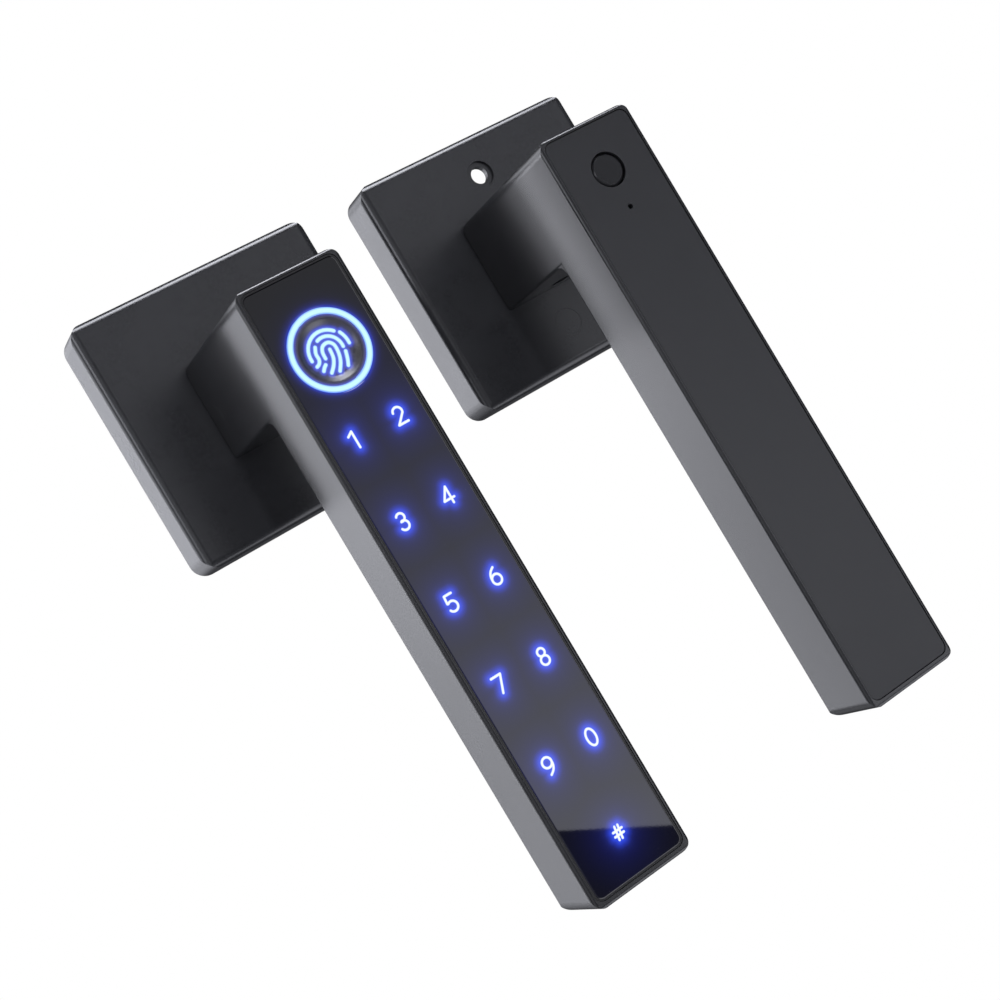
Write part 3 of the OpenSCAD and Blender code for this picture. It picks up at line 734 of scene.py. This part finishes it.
def sensor_mesh():
    """The dished lens with its painted glow: rings of points from the middle out, then a flat
    back.
    """
    dish_radii = np.linspace(FIRST_RING_R, DISH_LIP_R, DISH_RINGS)
    lip_radii = np.linspace(DISH_LIP_R, sensor_r, LIP_RINGS + 1)[1:]
    radii = np.concatenate([dish_radii, lip_radii])
    points, faces = [(ring_x, ring_z, float(dish_out(0)))], []
    rings = [(r, float(dish_out(r))) for r in radii] + [
        (sensor_r, sensor_box[4]),
        (BACK_R, sensor_box[4]),
    ]
    for r, out in rings:
        for k in range(AROUND):
            t = 2 * math.pi * k / AROUND
            points.append((ring_x + r * math.cos(t), ring_z + r * math.sin(t), out))
    points.append((ring_x, ring_z, sensor_box[4]))
    last = len(points) - 1
    for k in range(AROUND):
        n = (k + 1) % AROUND
        faces.append([0, 1 + k, 1 + n])
        for ring in range(len(rings) - 1):
            a, b = 1 + ring * AROUND, 1 + (ring + 1) * AROUND
            faces.append([a + k, b + k, b + n, a + n])
        a = 1 + (len(rings) - 1) * AROUND
        faces.append([a + k, last, a + n])
    x, z = np.array(points)[:, 0], np.array(points)[:, 1]
    # painted glow: halos of light round the fingerprint ridges and along the lens edge beside
    # the ring
    off = np.maximum(line_distance(x, z, finger_strokes) - FINGER_PEN, 0)
    edge_off = np.maximum(sensor_r - np.hypot(x - ring_x, z - ring_z), 0)
    glow = halo(off, 0.75, 1.8) + 0.75 * halo(edge_off, 0.55, 1.6)
    layers = {"glow": np.clip(glow, 0, 1)}
    return mesh_object("sensor_lens", points, faces, sensor, layers, LENS_SHARP_DEG)


lens = sensor_mesh()
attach(lens, "outer_lever")
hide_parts("fingerprint_sensor")


def ridge_top(x, z):
    """A little over the dish, so that each ridge follows it."""
    return dish_out(np.hypot(x - ring_x, z - ring_z)) + RAISED


for number, stroke in enumerate(finger_strokes):
    (left, low), (right, high) = np.min(stroke, 0), np.max(stroke, 0)
    room = widened((left, right, low, high), RIDGE_MARGIN)
    name = f"finger_mark_{number}"
    lit_mark(name, [stroke], FINGER_PEN, room, RIDGE_STEP, ridge_top, finger_light)

lever_paint = finish_material(
    "lever_black_paint", (0.0115, 0.0118, 0.0135), 0.26, **PAINT
)
RING_SPILL = 0.1  # how far past the ring's edges its colours run
special = {
    "fingerprint_ring": ring_material(
        ring_x, ring_z, sensor_r - RING_SPILL, ring_r + RING_SPILL
    ),
    "bolt_hole_cap": materials["satin_black"],
    "outer_lever_housing": lever_paint,
    "inner_lever_housing": lever_paint,
    "push_button": finish_material(
        "button_black_paint",
        (0.008, 0.0082, 0.0095),
        0.30,
        grain=0.10,
        depth=0.0008,
        specular=0.36,
    ),
}

# ---------------------------------------------------------------- finish on every CAD node

slots = {
    part["node"]: part["material_slot"] for part in frame["record"]["subparts"]
}
for name, node in nodes.items():
    node.data.materials.clear()
    node.data.materials.append(special.get(name, materials[slots[name]]))

# ---------------------------------------------------------------- floor

FLOOR_Z = -0.30
FLOOR_HALF = 14.0
FLOOR_SHINE = 0.62
floor_mesh = bpy.data.meshes.new("floor")
corners = [(-1, -1), (1, -1), (1, 1), (-1, 1)]
floor_mesh.from_pydata(
    [(u * FLOOR_HALF, v * FLOOR_HALF, 0) for u, v in corners], [], [(0, 1, 2, 3)]
)
floor = bpy.data.objects.new("floor", floor_mesh)
floor.location.z = FLOOR_Z
scene.collection.objects.link(floor)
floor_material, tree, shader, coords = blank_material("pale_floor")
mottle = noise(tree, coords, 3.0)
tint = ramp(tree, mottle, [(0.0, (0.80, 0.80, 0.80)), (1.0, (0.84, 0.84, 0.84))])
tree.links.new(tint, shader.inputs["Base Color"])
tree.links.new(tint, shader.inputs["Emission Color"])
shader.inputs["Emission Strength"].default_value = FLOOR_SHINE
shader.inputs["Roughness"].default_value = 0.9
floor.data.materials.append(floor_material)
floor.visible_glossy = False

# ---------------------------------------------------------------- light


def studio_world():
    """White behind the object; what the gloss mirrors is a studio of soft panels and dark gaps.

    Every number here places or dims one panel: directions are unit vectors, p and q are x and z
    on a plane one metre in front, and the levels are what a mirror would show.
    """
    world = bpy.data.worlds.new("studio")
    scene.world = world
    world.use_nodes = True
    world.cycles.sampling_method = "NONE"
    tree = world.node_tree
    tree.nodes.clear()
    direction = tree.nodes.new("ShaderNodeTexCoord").outputs["Generated"]
    x, y, z = separated(tree, direction)
    path = tree.nodes.new("ShaderNodeLightPath")

    def facing(vector, outer, inner):
        """1 inside a cone about vector, fading to 0: the angles are in degrees."""
        way = Vector(vector).normalized()
        aim = x * way.x + y * way.y + z * way.z
        return aim.step(math.cos(math.radians(outer)), math.cos(math.radians(inner)))

    front = (y * -1).higher_of(0.02)  # never 0, because p and q are divided by it
    p, q = x / front, z / front
    # the large front panel brightens along +x and ends at a straight slanted edge
    slope = (p - (q - 0.3764) * 0.5655).step(0.1765, 0.1745)
    bright = p * 5.4 + 1.1
    window = q.step(0.05, 0.22) * q.step(0.95, 0.70) * p.step(-0.9, -0.3)
    panel_light = bright.higher_of(0.50) * slope * window * (y * -1).step(0.3, 0.4)
    back = y.step(-0.05, 0.35) * z.step(0.15, -0.15)
    band = z.step(-0.37, -0.42) * 6.2 - z.step(-0.44, -0.48) * 4.8
    across = x.step(0.12, -0.08).between(0.75, 1.12) * x.step(0.42, 0.22).between(0.3, 1.0)
    # low at the back: a narrow bright band, a dim wall under it, a gap and a soft glow over it
    back_low = back * (band + z.step(-0.30, -0.24) * 1.25 + 0.30) * across
    beside = facing((0.69, -0.34, 0.33), 30, 12) * 2.2
    side = facing((-0.85, -0.32, 0.36), 18, 8) * 15.0
    under = facing((-0.26, -0.42, -0.87), 14, 8) * 4.6
    low_front = q.step(-0.12, -0.40) * q.step(-1.9, -1.3) * (y * -1).step(0.25, 0.5) * 0.5
    gloss = panel_light + low_front + back_low + side + beside + under + 0.08
    # matt surfaces see only a soft even sky
    diffuse = z.between(0.55, 0.65)
    kind_gloss = Num(tree, path.outputs["Is Glossy Ray"])
    kind_camera = Num(tree, path.outputs["Is Camera Ray"])
    soft = gloss * kind_gloss + diffuse * (kind_gloss * -1 + 1)
    level = kind_camera + soft * (kind_camera * -1 + 1)
    background = tree.nodes.new("ShaderNodeBackground")
    tinted = ramp(tree, kind_camera, [(0.0, (0.965, 0.98, 1.06)), (1.0, (1, 1, 1))])
    tree.links.new(tinted, background.inputs["Color"])
    tree.links.new(level.value, background.inputs["Strength"])
    output = tree.nodes.new("ShaderNodeOutputWorld")
    tree.links.new(background.outputs[0], output.inputs["Surface"])


studio_world()
lamp_data = bpy.data.lights.new("front_lamp", "SUN")
lamp_data.energy = 1.0
lamp_data.angle = math.radians(4)
lamp = bpy.data.objects.new("front_lamp", lamp_data)
lamp.rotation_euler = (math.radians(90), 0, 0)
lamp.visible_glossy = False
scene.collection.objects.link(lamp)
scene.view_settings.view_transform = "Standard"
scene.cycles.use_denoising = True

# ---------------------------------------------------------------- camera

LENS = 66.04
EYE = (0.0549, -0.4234, -0.1465)
TURN = math.radians(0.375)  # of the camera about z, away from straight in front
LIFT = math.radians(-24.39)  # below the object, looking up
ROLL = math.radians(59.32)
camera_data = bpy.data.cameras.new("camera")
camera = bpy.data.objects.new("camera", camera_data)
scene.collection.objects.link(camera)
scene.camera = camera
camera_data.sensor_width = 36.0
camera_data.lens = LENS
camera_data.clip_start = 0.01
camera.location = EYE
level = math.cos(LIFT)
back = Vector((math.sin(TURN) * level, -math.cos(TURN) * level, math.sin(LIFT)))
camera.rotation_mode = "QUATERNION"
rolled = Quaternion((0, 0, 1), ROLL)
camera.rotation_quaternion = (-back).to_track_quat("-Z", "Y") @ rolled
